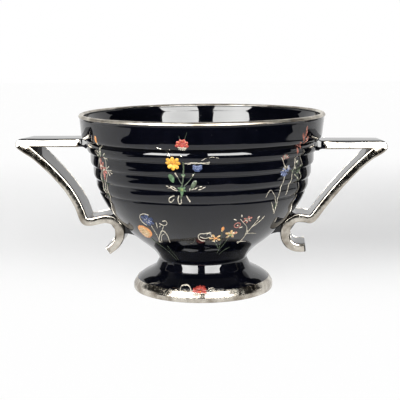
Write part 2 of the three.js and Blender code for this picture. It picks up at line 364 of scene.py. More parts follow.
def as_mesh(name, curve):
    """A drawn curve as the only selected object, turned into a mesh"""
    pick()
    piece = bpy.data.objects.new(name, curve)
    bpy.context.scene.collection.objects.link(piece)
    pick(piece)
    bpy.ops.object.convert(target="MESH")
    return bpy.context.active_object


def draw_line(name, points):
    """A line of edges in the upright XZ plane, opened in edit mode"""
    curve = bpy.data.curves.new(name, "CURVE")
    curve.dimensions = "3D"
    line = curve.splines.new("POLY")
    line.points.add(len(points) - 1)
    for point, (x, z) in zip(line.points, points):
        point.co = (x * MM, 0, z * MM, 1)
    piece = as_mesh(name, curve)
    open_mesh()
    return piece


def tidy_shell():
    """Merge doubled points and point the faces outwards, in edit mode"""
    open_mesh()
    bpy.ops.mesh.remove_doubles(threshold=MERGE_DISTANCE)
    bpy.ops.mesh.normals_make_consistent(inside=False)


def smooth(piece, degrees):
    bpy.ops.object.mode_set(mode="OBJECT")
    bpy.ops.object.shade_smooth_by_angle(angle=math.radians(degrees))
    return piece


def turn_on_wheel(name, points, steps):
    """A closed profile turned round the upright axis"""
    piece = draw_line(name, points)
    bpy.ops.object.mode_set(mode="OBJECT")
    turn = piece.modifiers.new("Turned", "SCREW")
    turn.steps = turn.render_steps = steps
    turn.angle, turn.axis, turn.use_merge_vertices = math.tau, "Z", True
    turn.merge_threshold = MERGE_DISTANCE
    bpy.ops.object.modifier_apply(modifier=turn.name)
    tidy_shell()
    return smooth(piece, 60)


def ripple(piece, waves, more_seed=0):
    """Uneven surface as a hand leaves it, calmer towards the lip and flat where it stands"""
    share, scale, seed = waves
    depth, seed = sizes().ripple * share, seed + more_seed
    shift = Vector((seed * 1.7, seed * 0.9, seed * 2.3))
    outward = [vertex.normal.copy() for vertex in piece.data.vertices]
    for vertex, normal in zip(piece.data.vertices, outward):
        spot = vertex.co.copy()
        lean = noise.noise(spot * scale + shift) + 0.4 * noise.noise(spot * scale * 2.6 + shift)
        calm = 1 - LIP_CALM * clamped((spot.z / MM - LIP_CALM_START) / LIP_CALM_SPAN)
        calm *= clamped(spot.z / MM / FLOOR_CALM_SPAN)
        vertex.co = spot + normal * depth * lean * calm


def keep(piece, finish, node_name=None):
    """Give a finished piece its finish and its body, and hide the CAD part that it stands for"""
    piece.data.materials.clear()
    piece.data.materials.append(FINISHES[finish])
    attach(piece, "root")
    if node_name:
        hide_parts(node_name)


# Finishes


def node(tree, kind, inputs=None, **settings):
    made = tree.nodes.new(kind)
    for key, value in settings.items():
        setattr(made, key, value)
    for key, value in (inputs or {}).items():
        if isinstance(value, bpy.types.NodeSocket):
            tree.links.new(value, made.inputs[key])
        else:
            made.inputs[key].default_value = value
    return made


def maths(tree, operation, *values):
    """One calculation on sockets and numbers"""
    return node(tree, "ShaderNodeMath", dict(enumerate(values)), operation=operation).outputs[0]


def object_spot(tree):
    return node(tree, "ShaderNodeTexCoord").outputs["Object"]


def cloud(tree, spot, scale, detail):
    return node(tree, "ShaderNodeTexNoise", {"Vector": spot, "Scale": scale, "Detail": detail}).outputs[0]


def effect(name, inputs, outputs):
    """A node group with named number inputs, and its two end nodes"""
    tree = bpy.data.node_groups.new(name, "ShaderNodeTree")
    for label, value in inputs.items():
        tree.interface.new_socket(label, in_out="INPUT", socket_type="NodeSocketFloat").default_value = value
    for label in outputs:
        tree.interface.new_socket(label, in_out="OUTPUT", socket_type="NodeSocketFloat")
    return tree, tree.nodes.new("NodeGroupInput"), tree.nodes.new("NodeGroupOutput")


def patches_effect():
    """Soft patches between a low and a high value"""
    inputs = {"Scale": 60.0, "Low": 0.0, "High": 1.0, "Detail": 3.0}
    tree, enter, leave = effect("Soft patches", inputs, ["Value"])
    spread = node(
        tree,
        "ShaderNodeMapRange",
        {
            "Value": cloud(tree, object_spot(tree), enter.outputs["Scale"], enter.outputs["Detail"]),
            "From Min": 0.32,
            "From Max": 0.68,
            "To Min": enter.outputs["Low"],
            "To Max": enter.outputs["High"],
        },
        interpolation_type="SMOOTHSTEP",
    )
    tree.links.new(spread.outputs["Result"], leave.inputs["Value"])
    return tree


def ripple_effect():
    """Height of a fired surface: slow waves and a finer orange peel"""
    inputs = {"Wave scale": 40.0, "Peel scale": 700.0, "Peel": 0.05}
    tree, enter, leave = effect("Fired ripple", inputs, ["Height"])
    spot = object_spot(tree)
    wave = cloud(tree, spot, enter.outputs["Wave scale"], 2.0)
    peel = cloud(tree, spot, enter.outputs["Peel scale"], 1.0)
    tree.links.new(maths(tree, "MULTIPLY_ADD", peel, enter.outputs["Peel"], wave), leave.inputs["Height"])
    return tree


def specks_effect():
    """Small sparse specks: pinholes in glaze, worn points in silver"""
    tree, enter, leave = effect("Sparse specks", {"Scale": 300.0, "Size": 0.12}, ["Mask"])
    places = {"Vector": object_spot(tree), "Scale": enter.outputs["Scale"], "Randomness": 1.0}
    cells = node(tree, "ShaderNodeTexVoronoi", places)
    chosen = node(tree, "ShaderNodeSeparateColor", {"Color": cells.outputs["Color"]})
    few = maths(tree, "GREATER_THAN", chosen.outputs[0], 0.82)
    near = maths(tree, "LESS_THAN", cells.outputs["Distance"], enter.outputs["Size"])
    tree.links.new(maths(tree, "MULTIPLY", few, near), leave.inputs["Mask"])
    return tree


def placed(tree, effect_name, **values):
    """The output of one of the effects, placed in a material with its own values"""
    made = tree.nodes.new("ShaderNodeGroup")
    made.node_tree = EFFECTS[effect_name]
    for label, value in values.items():
        made.inputs[label.replace("_", " ")].default_value = value
    return made.outputs[0]


def patches(tree, scale, low, high, detail):
    return placed(tree, "patches", Scale=scale, Low=low, High=high, Detail=detail)


def add_bump(tree, shader, strength, depth, **waves):
    """The fired ripple as a bump, its depth in millimetres"""
    height = placed(tree, "ripple", **waves)
    bump = node(tree, "ShaderNodeBump", {"Height": height, "Strength": strength, "Distance": depth * MM})
    tree.links.new(bump.outputs[0], shader.inputs["Normal"])


def tones(tree, share, dark, light):
    ends = {"Factor": share, 6: (*dark, 1), 7: (*light, 1)}
    return node(tree, "ShaderNodeMix", ends, data_type="RGBA").outputs[2]


def material(name):
    made = bpy.data.materials.new(name)
    made.use_nodes = True
    made.node_tree.nodes.clear()
    tree = made.node_tree
    shader = tree.nodes.new("ShaderNodeBsdfPrincipled")
    leave = tree.nodes.new("ShaderNodeOutputMaterial")
    tree.links.new(shader.outputs[0], leave.inputs[0])
    return made, tree, shader


EFFECTS = {}
FINISHES = {}
ENAMELS = (
    "coral", "yellow", "orange", "peach", "russet", "pink", "blue", "sky", "cream", "lime", "green", "olive",
)


def make_finishes():
    EFFECTS.update(patches=patches_effect(), ripple=ripple_effect(), specks=specks_effect())
    tint = colours()
    FINISHES["glaze"] = glaze_finish(tint.glaze)
    FINISHES["silver"] = silver_finish("Silver on glaze", tint.silver, tint.tarnish)
    FINISHES["foot_silver"] = silver_finish("Worn silver on the foot", tint.silver, tint.tarnish, 0.15, 0.30)
    FINISHES["lip_silver"] = silver_finish("Rubbed silver on the lip", tint.silver, tint.tarnish, 0.30, 0.42)
    for name in ENAMELS:
        FINISHES[name] = enamel_finish(name.capitalize() + " enamel", getattr(tint, name))


def glaze_finish(tint):
    made, tree, shader = material("Black glaze")
    shade = patches(tree, 35.0, 0.0, 1.0, 4.0)
    warm = tuple(min(1, c * k) for c, k in zip(tint, (1.9, 1.6, 1.5)))
    tree.links.new(tones(tree, shade, tint, warm), shader.inputs["Base Color"])
    polish = patches(tree, 90.0, 0.02, 0.065, 5.0)
    holes = placed(tree, "specks", Scale=260.0, Size=0.09)
    tree.links.new(maths(tree, "MULTIPLY_ADD", holes, 0.3, polish), shader.inputs["Roughness"])
    add_bump(tree, shader, 1.0, 0.22, Wave_scale=48.0, Peel_scale=520.0, Peel=0.012)
    shader.inputs["IOR"].default_value = 1.52
    return made


def silver_finish(name, clean, film, smoothest=0.07, dullest=0.16):
    made, tree, shader = material(name)
    stain = patches(tree, 75.0, 0.1, 0.85, 5.0)
    tree.links.new(tones(tree, stain, clean, film), shader.inputs["Base Color"])
    dull = patches(tree, 240.0, smoothest, dullest, 4.0)
    worn = placed(tree, "specks", Scale=420.0, Size=0.16)
    tree.links.new(maths(tree, "MULTIPLY_ADD", worn, 0.3, dull), shader.inputs["Roughness"])
    add_bump(tree, shader, 1.0, 0.12, Wave_scale=120.0, Peel_scale=900.0, Peel=0.08)
    shader.inputs["Metallic"].default_value = 1.0
    return made


def enamel_finish(name, tint):
    made, tree, shader = material(name)
    dab = patches(tree, 420.0, 0.0, 1.0, 3.0)
    dark = tuple(c * 0.72 for c in tint)
    light = tuple(min(1, c * 1.18 + 0.02) for c in tint)
    tree.links.new(tones(tree, dab, dark, light), shader.inputs["Base Color"])
    add_bump(tree, shader, 0.6, 0.12, Wave_scale=500.0, Peel_scale=1800.0, Peel=0.3)
    tree.links.new(patches(tree, 600.0, 0.22, 0.42, 2.0), shader.inputs["Roughness"])
    return made


# Turned pieces


def build_bowl():
    wall = sizes().wall_thickness / MM
    coat = sizes().silver_lift / MM
    lip = arc(LIP_CENTRE, LIP_ROUND - coat, -50, 200, 16)
    outer = softened(even(bowl_wall()[::-1], WALL_STEP), 3)
    corner = (LOWER_WALL[0] - 3.2, LOWER_WALL[1] + wall)
    rib_foot = (RIB_FOOT[0] - wall, RIB_FOOT[1] + 1)
    middle = (0, FLOOR_HEIGHT)
    inner = [middle, *bezier(middle, (16.6, FLOOR_HEIGHT), (44.5, 37.8), corner, 14)]
    inner += bezier(corner, (69.7, 61.5), (80.1, 80.2), rib_foot, 20)
    inner += bezier(rib_foot, (89.5, 103.0), (95.8, 133.2), INNER_NECK, 24)
    inner = softened(inner, 2)
    piece = turn_on_wheel("bowl_glazed", [(0, 26.9), *outer, *lip, *inner[::-1]], BOWL_STEPS)
    ripple(piece, BOWL_WAVES)
    keep(piece, "glaze", "bowl_body")


def build_foot():
    outer = [(31.4, 27.1), *softened(even(foot_wall(), WALL_STEP), 2)]
    coat = sizes().silver_lift / MM
    edge = [*((radius - coat, height) for radius, height in FOOT_RIM), (FOOT_RING[0], 0)]
    hollow = [(FOOT_RING[1], 0), (55.4, 0.7)]
    hollow += bezier(hollow[-1], (53.0, 5.6), (40.0, 13.0), (31.4, 25.6), 16)
    piece = turn_on_wheel("foot_glazed", [*outer, *edge, *hollow, outer[0]], FOOT_STEPS)
    ripple(piece, FOOT_WAVES)
    keep(piece, "glaze", "pedestal_foot")


def silver_coat(name, line, node_name, depth, waves, finish):
    """A thin silver coat laid over a line of the profile, as uneven as the clay under it"""
    inside = offset_line(line, depth)
    piece = turn_on_wheel(name, [*line, *inside[::-1], line[0]], BOWL_STEPS)
    ripple(piece, waves)
    keep(piece, finish, node_name)


def build_silver_bands():
    coat = sizes().silver_lift / MM
    rim = arc(LIP_CENTRE, LIP_ROUND, 160, -6, 16)
    silver_coat("rim_silver", rim, "rim_silver_band", coat * 1.3, BOWL_WAVES, "lip_silver")
    above = [point for point in even(foot_wall(), WALL_STEP) if point[1] < FOOT_SILVER_TOP]
    above = offset_line(above, -coat)
    foot = [*above[:-1], *foot_edge(above[-1], 6, FOOT_SILVER_BOTTOM)]
    silver_coat("foot_silver", foot, "foot_silver_band", coat * 1.6, FOOT_WAVES, "foot_silver")


# Handles


def strap_run(strap):
    """Centre line from the tip down the slope, over the shelf and into the scroll"""
    base, tip = strap["base"], strap["tip"]
    elbow, corner, tail_top = (plus(base, strap[key]) for key in ("elbow", "elbow_corner", "tail_top"))
    shelf_out, shelf_in = (plus(base, spot) for spot in strap["shelf"])
    leave, arrive = strap["slope"]
    run = [tip, *bezier(tip, plus(tip, leave), plus(elbow, arrive), elbow, 26)]
    run += bezier(elbow, corner, corner, shelf_out, 8)
    run += bezier(shelf_in, *(plus(base, spot) for spot in strap["shoulder"]), tail_top, 12)
    run += bezier(tail_top, *(plus(base, spot) for spot in strap["tail"]), 14)
    return run


def behind_tip(outside, lean):
    """The slope's outer side, thicker where the clay was bent round the tip"""
    out = (math.cos(math.radians(lean)), math.sin(math.radians(lean)))
    gain, skip = TIP_ROUND * (1 - out[0] - out[1]), TIP_ROUND * (out[0] - out[1])
    moved = []
    for point in outside:
        past = math.dist(point, outside[0]) - skip
        if past >= 0:
            share = gain * math.exp(-(past / TIP_FADE) ** 2)
            moved.append((point[0] + out[0] * share, point[1] + out[1] * share))
    return moved


def strap_outline(strap, thickness, trim):
    """Side view of a strap: bar, round tip, slope, shelf and scroll, whose end is cut short by the trim"""
    half, tip = thickness / 2, strap["tip"]
    wall, _ = wall_place(tip[1])
    run = softened(even(strap_run(strap), 0.7), 3)
    while trim > 0 and math.dist(run[-1], strap_run(strap)[-1]) < trim:
        run.pop()
    swell = (strap["base"][0] + strap["tail_top"][0], strap["base"][1] + strap["tail_top"][1])
    outside, inside = beside(run, -half, swell), beside(run, half, swell)
    lean = math.degrees(math.atan2(outside[0][1] - tip[1], outside[0][0] - tip[0]))
    outside = behind_tip(outside, lean)
    heart = (tip[0] - TIP_ROUND, tip[1] - TIP_ROUND)
    under = tip[1] - half
    kept = [p for p in inside if p[1] < under]
    above = inside[len(inside) - len(kept) - 1]
    share = (above[1] - under) / (above[1] - kept[0][1])
    notch = (above[0] + (kept[0][0] - above[0]) * share, under)
    flare = ((3.4, 0), (2.2, -0.2), (1.2, -0.7), (0.4, -1.5))
    root = [plus((wall, under), step) for step in flare]
    crown = [(x, 2 * tip[1] - z) for x, z in root[::-1]]
    return [
        (wall - 3, crown[0][1]),
        *crown[:-1],
        *resampled([crown[-1], (heart[0], tip[1] + half)], 20)[:-1],
        *arc(heart, half + TIP_ROUND, 90, lean, 9)[:-1],
        *resampled(outside, 120),
        *resampled([*kept[::-1], notch], 120)[:-1],
        *resampled([notch, root[0]], 18)[:-1],
        *root,
        (wall - 3, root[-1][1]),
    ]


def cut_strap(name, side, layers):
    """Side views at their places across the strap, bridged one to the next and closed at both faces"""
    loops = []
    for outline, y in layers:
        loop = draw_line(name, [(x * side, z) for x, z in [*outline, outline[0]]])
        bpy.ops.mesh.remove_doubles(threshold=MERGE_DISTANCE)
        bpy.ops.transform.translate(value=(0, y, 0))
        bpy.ops.object.mode_set(mode="OBJECT")
        loops.append(loop)
    count = len(loops[0].data.vertices)
    pick(*loops)
    bpy.ops.object.join()
    piece = loops[0]
    piece.name = piece.data.name = name
    order = sorted(range(len(layers)), key=lambda i: piece.data.vertices[i * count].co.y)
    for near, far in zip(order, order[1:]):
        select_points(piece, lambda i: i // count in (near, far))
        bpy.ops.mesh.bridge_edge_loops()
    for end in (order[0], order[-1]):
        select_points(piece, lambda i: i // count == end)
        bpy.ops.mesh.edge_face_add()
    tidy_shell()
    bpy.ops.mesh.quads_convert_to_tris(quad_method="BEAUTY", ngon_method="BEAUTY")
    bpy.ops.object.mode_set(mode="OBJECT")
    return piece


def select_points(piece, wanted):
    """Select in edit mode the vertices whose number is wanted"""
    if bpy.context.object.mode != "EDIT":
        bpy.ops.object.mode_set(mode="EDIT")
    bpy.ops.mesh.select_mode(type="VERT")
    bpy.ops.mesh.select_all(action="DESELECT")
    bpy.ops.object.mode_set(mode="OBJECT")
    for vertex in piece.data.vertices:
        vertex.select = wanted(vertex.index)
    bpy.ops.object.mode_set(mode="EDIT")


def rolled_edge(width):
    """How far the strap's faces sink towards its long edges, and where across it, from edge to edge"""
    far = [(inset, width / 2 - reach) for inset, reach in STRAP_EDGE]
    across = [(0, y) for y in (-0.2 * width, 0, 0.2 * width)]
    return [*[(inset, -y) for inset, y in far[::-1]], *across, *far]


def lean_in(piece, strap, width):
    """Lean the bar's edge faces to look up a little, and let the strap's back corner fall short at the tip"""
    side, tip = strap["side"], strap["tip"]
    wall, _ = wall_place(tip[1])
    for vertex in piece.data.vertices:
        x, y, z = vertex.co / MM
        bar = clamped((z - tip[1] + 5.5) / 2.0) * clamped((abs(x) - wall - 6) / 3, -0.6)
        edge = clamped((abs(y) - 0.2 * width) / (0.25 * width))
        inward = max(z - tip[1] + 3.4, 0) * math.tan(math.radians(BAR_LEAN)) * bar * edge
        outer = clamped((abs(x) - 118) / (tip[0] - 118)) ** 2
        short = strap["short"] * outer * (y / width + 0.5)
        vertex.co = Vector((x - side * short, y - math.copysign(inward, y), z)) * MM


def luting(strap, width):
    """The clay pressed between the strap's shoulder and the wall"""
    base = strap["base"]
    over = [plus(base, step) for step in ((10, 1.5), (5.5, 3.4), (2.4, 4.6), (1.4, 6.4), (1.0, 8.6))]
    under = [plus(base, step) for step in ((-4, 8.6), (-20, -17), (-12, -12.6), (-8, -12.0), (-1.5, -15.0))]
    wedge = [*over[:2], *bezier(*over[1:], 5), *under[:2], *bezier(*under[1:], 6)]
    return cut_strap("luting_clay", strap["side"], [(wedge, -width / 2), (wedge, width / 2)])


def build_handle(strap, label):
    size = sizes()
    coat = size.silver_lift
    thick = (size.strap_thickness - 2 * coat) / MM
    width = size.strap_width - 2 * coat
    layers = [
        (strap_outline(strap, thick - 2 * inset, inset), y * MM)
        for inset, y in rolled_edge(width / MM)
    ]
    body = cut_strap(label + "_handle_glazed", strap["side"], layers)
    lean_in(body, strap, width / MM)
    ripple(body, STRAP_WAVES, strap["side"])
    for face, where in ((-1, "front"), (1, "back")):
        silver_edge(body, strap, label, face, where, width)
    clay = luting(strap, width - 6 * size.silver_reach)
    smooth(clay, 40)
    pick(body)
    union = body.modifiers.new("Luted clay", "BOOLEAN")
    union.operation, union.object, union.solver = "UNION", clay, "EXACT"
    bpy.ops.object.modifier_apply(modifier=union.name)
    bpy.data.objects.remove(clay)
    smooth(body, 38)
    keep(body, "glaze", label + "_handle")


def silver_edge(body, strap, label, face, where, width):
    """Silver over one long edge of a strap, its border drawn with a brush"""
    size = sizes()
    pick(body)
    bpy.ops.object.duplicate()
    piece = bpy.context.active_object
    piece.name = piece.data.name = f"{label}_handle_silver_{where}_coat"
    border = width / 2 - size.silver_reach
    open_mesh()
    bpy.ops.mesh.bisect(plane_co=(0, face * border, 0), plane_no=(0, face, 0), clear_inner=True)
    wall, _ = wall_place(strap["tip"][1])
    select_points(piece, lambda i: piece.data.vertices[i].co.z > (strap["tip"][1] - 12) * MM)
    bpy.ops.mesh.bisect(
        plane_co=(strap["side"] * (wall + SILVER_ROOT_GAP) * MM, 0, strap["tip"][1] * MM),
        plane_no=(strap["side"], 0, 0.25),
        clear_inner=True,
    )
    bpy.ops.object.mode_set(mode="OBJECT")
    for vertex in piece.data.vertices:
        if abs(abs(vertex.co.y) - border) < 0.02 * MM:
            waver = noise.noise(vertex.co * 160 + Vector((face, 0, 0)))
            vertex.co.y += face * BRUSH_WAVER * MM * waver
    coat = piece.modifiers.new("Coat", "SOLIDIFY")
    coat.thickness, coat.offset, coat.use_even_offset = size.silver_lift, 1, True
    bpy.ops.object.modifier_apply(modifier=coat.name)
    smooth(piece, 50)
    keep(piece, "silver", f"{label}_handle_silver_{where}")


# Enamel sprigs: petals and strokes are laid out flat and then wrapped on the wall

SHEET_RADIUS = 95.0


def sheet_spot(azimuth, height):
    return Vector((math.radians(azimuth) * SHEET_RADIUS * MM, height * MM, 0))


def steepness(height):
    """Share of a step up over the wall that goes upwards, taken over a few millimetres"""
    (above, _), (below, _) = wall_place(height + 3), wall_place(height - 3)
    return 6 / math.hypot(6, above - below)


def sheet_stretch(height):
    return SHEET_RADIUS / wall_place(height)[0], steepness(height)


def wrapped(spot):
    azimuth, height, lift = spot.x / MM / SHEET_RADIUS, spot.y / MM, spot.z / MM
    radius, run = wall_place(height)
    outward, upward = run.y, -run.x
    r, z = radius + outward * lift, height + upward * lift
    return Vector((r * math.sin(azimuth), -r * math.cos(azimuth), z)) * MM


def wrap(piece):
    for vertex in piece.data.vertices:
        vertex.co = wrapped(vertex.co)
    tidy_shell()
    bpy.ops.object.mode_set(mode="OBJECT")


class Sprigs:
    """Collects petals and strokes by colour before they are modelled"""

    def __init__(self):
        self.petals, self.strokes = {}, {}
        self.turn = 0
        self.rng = random.Random(7)

    def shifted(self, spot, right, up):
        """A spot moved by millimetres over the wall"""
        return (spot[0] + math.degrees(right / wall_place(spot[1])[0]), spot[1] + up * steepness(spot[1]))

    def around(self, spot, reach, angle):
        """A spot moved over the wall in a direction, given in degrees"""
        turn = math.radians(angle)
        return self.shifted(spot, reach * math.cos(turn), reach * math.sin(turn))

    def petal(self, tint, spot, length, width, angle=0, lift=1.0):
        place = (spot[0] + self.turn, spot[1])
        thin = 0.72 if tint == "silver" else 1.0
        self.petals.setdefault(tint, []).append((place, length, width * thin, angle, lift))

    def ring(self, tint, spot, count, radius, length, width, start=90, sweep=360, lift=1.0):
        """Petals round a centre, each a little different"""
        gaps = count if sweep == 360 else max(count - 1, 1)
        for i in range(count):
            angle = start + sweep * i / gaps + self.rng.uniform(-5, 5)
            reach = radius * self.rng.uniform(0.93, 1.07)
            centre = self.around(spot, reach, angle)
            self.petal(tint, centre, length * self.rng.uniform(0.92, 1.08), width, angle, lift)

    def stroke(self, tint, spots, start=0.45, end=0.25):
        moved = [(a + self.turn, z) for a, z in spots]
        thin = 0.72 if tint == "silver" else 1.0
        self.strokes.setdefault(tint, []).append((moved, start * thin, end * thin))

    def leaf(self, spot, length, width, angle, tint="silver", stroke=0.32):
        """A leaf drawn as an outline with a midrib"""
        axis = Vector((math.cos(math.radians(angle)), math.sin(math.radians(angle))))
        side = Vector((-axis.y, axis.x))
        for bulge in (1, -1):
            line = []
            for share in (0, 0.25, 0.55, 0.85, 1):
                out = axis * length * share + side * bulge * width / 2 * math.sin(math.pi * share) ** 0.8
                line.append(self.shifted(spot, out.x, out.y))
            self.stroke(tint, line, stroke, stroke * 0.8)
        middle = axis * length * 0.6
        self.stroke(tint, [spot, self.shifted(spot, middle.x, middle.y)], stroke, stroke * 0.6)


def front_spray(sprig):
    """Tall spray: coral, golden and blue flowers on one green stem"""
    top, gold, blue = (-4.6, 138.0), (-9.5, 122.9), (1.7, 119.9)
    sprig.ring("coral", top, 6, 3.3, 4.2, 2.8, -8, 196)
    sprig.petal("coral", top, 4.6, 4.2, 90)
    sprig.ring("orange", top, 5, 3.9, 1.3, 0.9, 12, 156, 1.4)
    sprig.ring("cream", (-4.6, 136.4), 7, 2.7, 2.3, 1.1, 190, 160, 1.15)
    sprig.ring("cream", (-4.6, 136.6), 5, 1.1, 1.3, 0.8, 200, 140, 1.4)
    sprig.ring("yellow", gold, 8, 3.9, 4.6, 3.5)
    sprig.petal("yellow", gold, 4.4, 4.4, 0, 1.1)
    sprig.ring("orange", gold, 6, 2.5, 1.3, 0.7, 20, 360, 1.5)
    sprig.ring("coral", gold, 4, 0.9, 0.9, 0.7, 20, 360, 1.7)
    sprig.ring("blue", blue, 6, 2.3, 3.8, 3.0, 160, 220)
    sprig.petal("blue", blue, 3.6, 3.6, 0, 1.1)
    sprig.ring("sky", blue, 6, 1.6, 1.8, 0.7, 170, 200, 1.5)
    for right, up, length, tilt in (
        (-6.4, 2.6, 4.2, 20), (-3.6, 3.6, 3.8, 160), (-1.2, 3.2, 3.2, 40), (1.6, 3.4, 4.0, 15),
        (5.2, 3.0, 4.0, 165), (8.2, 2.8, 3.2, 10), (-9.0, 3.2, 2.6, 5),
    ):
        sprig.petal("cream", sprig.shifted(blue, right, up), length, 0.6, tilt)
    sprig.stroke("cream", [(-3.0, 123.2), (0.2, 123.8), (3.4, 123.2), (7.4, 124.2)], 0.24, 0.2)
    stem = [(-4.8, 124.0), (-4.7, 118.6), (-5.0, 112.9), (-6.1, 101.2), (-6.6, 93.6)]
    sprig.stroke("olive", stem, 0.62, 0.6)
    sprig.stroke("cream", [(-8.8, 115.4), (-7.8, 112.2)], 0.5, 0.35)
    sprig.stroke("olive", [(-7.9, 112.4), (-6.8, 108.4), (-5.6, 105.6)], 0.26, 0.3)
    sprig.stroke("olive", [(0.6, 115.6), (-1.6, 110.0), (-4.8, 104.4)], 0.3, 0.3)
    sprig.petal("cream", (-0.4, 113.4), 2.6, 1.2, 70, 1.2)
    for turn in (60, 120):
        sprig.petal("green", sprig.shifted((-5.0, 112.8), math.cos(math.radians(turn)), 0), 3.6, 1.6, turn)
    sprig.petal("cream", (-5.0, 112.8), 2.2, 1.1, 90, 1.6)
    sprig.ring("green", (-6.0, 101.6), 6, 1.8, 3.4, 1.8, 30)
    sprig.petal("green", (-6.1, 99.8), 9.0, 3.4, 88)
    sprig.petal("lime", (-6.0, 101.4), 3.8, 3.4, 85, 1.4)
    sprig.petal("green", (-10.8, 110.6), 7.8, 5.0, 112)
    sprig.petal("olive", (-0.4, 105.2), 9.0, 4.0, 60)
    for right, up, length, tilt in (
        (-9.6, 1.6, 3.4, 10), (-7.6, 2.6, 3.2, 160), (-7.4, 0.6, 3.4, 145), (-5.4, 1.4, 3.6, 140),
        (-5.0, -0.6, 3.2, 160), (6.6, 0.2, 3.2, 80), (8.8, 0.6, 3.2, 20), (11.4, 1.4, 3.6, 35),
        (14.6, 0.4, 3.4, 15), (17.4, 1.8, 4.0, 30), (15.0, 2.8, 3.0, 10), (-11.4, 3.0, 2.4, 170),
    ):
        sprig.petal("cream", sprig.shifted((-6.1, 101.4), right, up), length, 0.75, tilt)
    for loop in (
        [(-10.0, 96.2), (-11.2, 95.6), (-12.8, 93.3), (-12.4, 90.7), (-10.2, 93.4)],
        [(-7.7, 96.5), (-8.2, 92.8), (-7.5, 89.4), (-6.5, 93.9), (-6.6, 96.4)],
    ):
        sprig.stroke("cream", loop, 0.42, 0.36)
    sprig.stroke("cream", [(-3.9, 96.4), (-3.2, 94.4), (-2.2, 91.4)], 0.34, 0.58)
    sprig.petal("silver", (-14.9, 135.2), 4.8, 1.7, 155)
    sprig.petal("silver", (-10.2, 134.2), 1.8, 1.6, 100, 1.2)
    sprig.stroke("silver", [(-13.6, 134.4), (-11.6, 131.8), (-10.6, 128.8)], 0.3, 0.3)
    for spot in ((-11.6, 129.4), (-5.4, 129.0)):
        sprig.petal("silver", spot, 2.4, 1.5, 150, 1.2)
    sprig.stroke("silver", [(3.6, 125.6), (6.0, 127.6), (9.2, 128.0), (12.0, 126.8)], 0.16, 0.12)
    sprig.stroke("olive", [(-3.6, 142.0), (-2.8, 145.4), (-2.4, 148.2)], 0.14, 0.1)
    sprig.stroke("olive", [(-5.4, 142.6), (-5.8, 145.4)], 0.14, 0.1)


def left_spray(sprig):
    """White-leaved spray with an apricot bud over a long salmon flower"""
    sprig.petal("orange", (-52.2, 138.2), 7.0, 3.6, 98)
    sprig.petal("cream", (-51.6, 135.0), 3.2, 1.8, 70, 1.2)
    sprig.stroke("cream", [(-52.0, 134.6), (-52.6, 130.0), (-53.4, 124.0)], 0.3, 0.26)
    for spot, angle in (
        ((-55.0, 127.5), 160), ((-52.4, 127.6), 100), ((-49.5, 126.2), 35),
        ((-50.0, 122.8), 330), ((-55.8, 124.6), 190), ((-53.0, 131.2), 95),
    ):
        sprig.petal("cream", spot, 4.0, 0.9, angle)
        sprig.petal("olive", sprig.shifted(spot, 0.9, -0.8), 3.4, 1.3, angle)
    flower = (-54.6, 113.8)
    sprig.ring("pink", flower, 6, 3.6, 5.2, 2.4, 70)
    sprig.petal("pink", (-56.0, 119.6), 5.4, 2.0, 100)
    sprig.petal("pink", (-54.6, 106.4), 6.4, 2.4, 95)
    sprig.petal("russet", flower, 3.0, 3.0, 0, 1.5)
    sprig.ring("cream", flower, 5, 2.2, 1.9, 0.7, 40, 360, 1.5)
    for line in (
        [(-57.9, 121.8), (-56.7, 115.3), (-58.4, 106.3), (-60.0, 97.3), (-58.1, 91.6)],
        [(-51.5, 122.9), (-50.4, 116.6), (-51.9, 107.6), (-54.8, 98.3), (-54.2, 90.8), (-57.5, 83.3)],
        [(-54.4, 104.4), (-57.0, 99.0), (-56.0, 92.0)],
    ):
        sprig.stroke("cream", line, 0.24, 0.24)
    dots = (((-48.2, 115.8), 40), ((-47.0, 113.0), 10), ((-47.6, 110.4), -30), ((-49.4, 109.0), -50))
    for spot, angle in dots:
        sprig.stroke("cream", [(-52.0, 112.6), spot], 0.2, 0.2)
        sprig.petal("cream", spot, 2.0, 1.0, angle, 1.2)
    leaves = (((-57.8, 103.0), 110), ((-54.0, 100.4), 75), ((-58.4, 95.0), 120), ((-56.0, 90.0), 70))
    for spot, angle in leaves:
        sprig.petal("olive", spot, 4.4, 1.2, angle)


